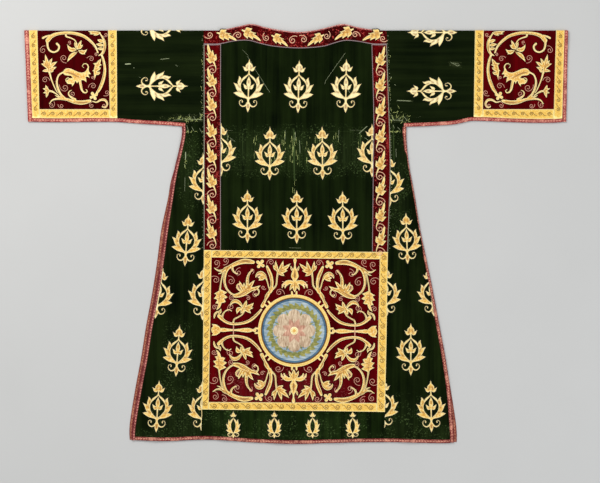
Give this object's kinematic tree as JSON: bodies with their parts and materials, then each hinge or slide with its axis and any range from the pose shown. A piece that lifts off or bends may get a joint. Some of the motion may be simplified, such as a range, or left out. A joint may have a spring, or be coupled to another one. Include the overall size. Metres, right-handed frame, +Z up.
{
  "type": "dalmatic",
  "caption": "Dalmatic, a wide-sleeved T-shaped church vestment of velvet with appliqué bands and panels, lying flat on its back.",
  "frame": {"origin": "middle of the garment's outline, on the surface that it lies on", "axes": "+X from cuff to cuff, towards the wearer's left sleeve as the front is seen; +Y from the hem to the neck; +Z up, out of the front"},
  "size_m": [1.522, 1.176, 0.0081],
  "materials": {
    "green_velvet": "dark olive-green cotton velvet with a fine upright rib",
    "red_velvet": "crimson velvet, plain, of the apparels and bands",
    "gold": "couched gold thread over cord, with brown silk stitches",
    "galloon": "narrow woven red and gold galloon",
    "silk": "coloured silk in long laid stitches"
  },
  "bodies": {
    "root": {"back_centre": "green_velvet", "back_gore_left": "green_velvet", "back_gore_right": "green_velvet", "front_centre": "green_velvet", "front_gore_left": "green_velvet", "front_gore_right": "green_velvet", "front_hem_strip": "green_velvet", "sleeve_left": "green_velvet", "sleeve_right": "green_velvet", "neck_band": "red_velvet", "orphrey_left": "red_velvet", "orphrey_right": "red_velvet", "shoulder_piece_left": "red_velvet", "shoulder_piece_right": "red_velvet", "skirt_apparel": "red_velvet", "sleeve_apparel_left": "red_velvet", "sleeve_apparel_right": "red_velvet", "roundel_ring": "gold", "skirt_frame_bottom": "gold", "skirt_frame_left": "gold", "skirt_frame_right": "gold", "skirt_frame_top": "gold", "sleeve_cuff_frame_left": "gold", "sleeve_cuff_frame_right": "gold", "sleeve_inner_frame_left": "gold", "sleeve_inner_frame_right": "gold", "sleeve_under_frame_back_left": "gold", "sleeve_under_frame_back_right": "gold", "sleeve_under_frame_front_left": "gold", "sleeve_under_frame_front_right": "gold", "cuff_trim_left": "galloon", "cuff_trim_right": "galloon", "hem_trim_back": "galloon", "hem_trim_front": "galloon", "neck_piping_back": "galloon", "neck_piping_front": "galloon", "side_trim_back_left": "galloon", "side_trim_back_right": "galloon", "side_trim_front_left": "galloon", "side_trim_front_right": "galloon", "sleeve_trim_back_left": "galloon", "sleeve_trim_back_right": "galloon", "sleeve_trim_front_left": "galloon", "sleeve_trim_front_right": "galloon", "roundel": "silk"}
  },
  "joints": []
}
